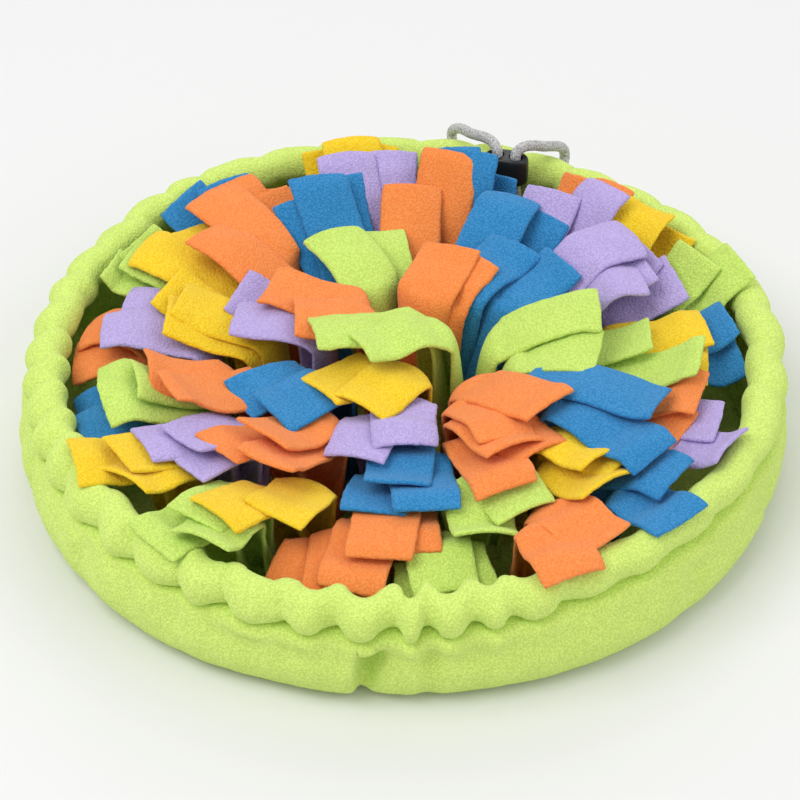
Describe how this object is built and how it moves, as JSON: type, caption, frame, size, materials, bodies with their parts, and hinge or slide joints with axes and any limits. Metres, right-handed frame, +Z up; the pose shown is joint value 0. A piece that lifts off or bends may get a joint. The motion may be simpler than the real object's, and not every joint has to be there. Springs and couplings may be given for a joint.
{
  "type": "snuffle mat",
  "caption": "Round drawstring snuffle mat: fleece strips in a low gathered fleece bowl, with a cord lock at the rim.",
  "frame": {"origin": "on the floor, under the middle of the mat's base", "axes": "+Z up; -Y towards the picture's camera, with the cord lock behind it at +Y and a little to +X"},
  "size_m": [0.399, 0.4007, 0.084],
  "materials": {
    "fleece_lime": "short curly fleece nap",
    "fleece_green": "short curly fleece nap",
    "fleece_orange": "short curly fleece nap",
    "fleece_yellow": "short curly fleece nap",
    "fleece_blue": "short curly fleece nap",
    "fleece_lilac": "short curly fleece nap",
    "cord": "grey melange braided cord",
    "lock_plastic": "fine satin moulding"
  },
  "bodies": {
    "root": {"base": "fleece_lime", "wall": "fleece_lime", "tuft_01": "fleece_green", "tuft_02": "fleece_orange", "tuft_03": "fleece_green", "tuft_04": "fleece_yellow", "tuft_05": "fleece_blue", "tuft_06": "fleece_orange", "tuft_07": "fleece_green", "tuft_08": "fleece_blue", "tuft_09": "fleece_yellow", "tuft_10": "fleece_orange", "tuft_11": "fleece_yellow", "tuft_12": "fleece_green", "tuft_13": "fleece_blue", "tuft_14": "fleece_lilac", "tuft_15": "fleece_blue", "tuft_16": "fleece_orange", "tuft_17": "fleece_orange", "tuft_18": "fleece_green", "tuft_19": "fleece_yellow", "tuft_20": "fleece_orange", "tuft_21": "fleece_yellow", "tuft_22": "fleece_lilac", "tuft_23": "fleece_lilac", "tuft_24": "fleece_blue", "tuft_25": "fleece_lilac", "tuft_26": "fleece_orange", "tuft_27": "fleece_yellow", "tuft_28": "fleece_lilac", "tuft_29": "fleece_green", "tuft_30": "fleece_lilac", "tuft_31": "fleece_yellow", "tuft_32": "fleece_blue", "tuft_33": "fleece_orange", "tuft_34": "fleece_blue", "tuft_35": "fleece_green", "tuft_36": "fleece_lilac", "tuft_37": "fleece_blue", "tuft_38": "fleece_orange", "tuft_39": "fleece_blue", "tuft_40": "fleece_orange", "tuft_41": "fleece_yellow", "tuft_42": "fleece_orange", "tuft_43": "fleece_orange", "tuft_44": "fleece_blue", "tuft_45": "fleece_lilac", "tuft_46": "fleece_orange", "tuft_47": "fleece_green", "tuft_48": "fleece_blue", "tuft_49": "fleece_green", "tuft_50": "fleece_lilac", "tuft_51": "fleece_orange", "tuft_52": "fleece_yellow", "tuft_53": "fleece_orange", "tuft_54": "fleece_green", "lock": "lock_plastic", "cord_left": "cord", "cord_right": "cord", "knot": "cord"}
  },
  "joints": []
}
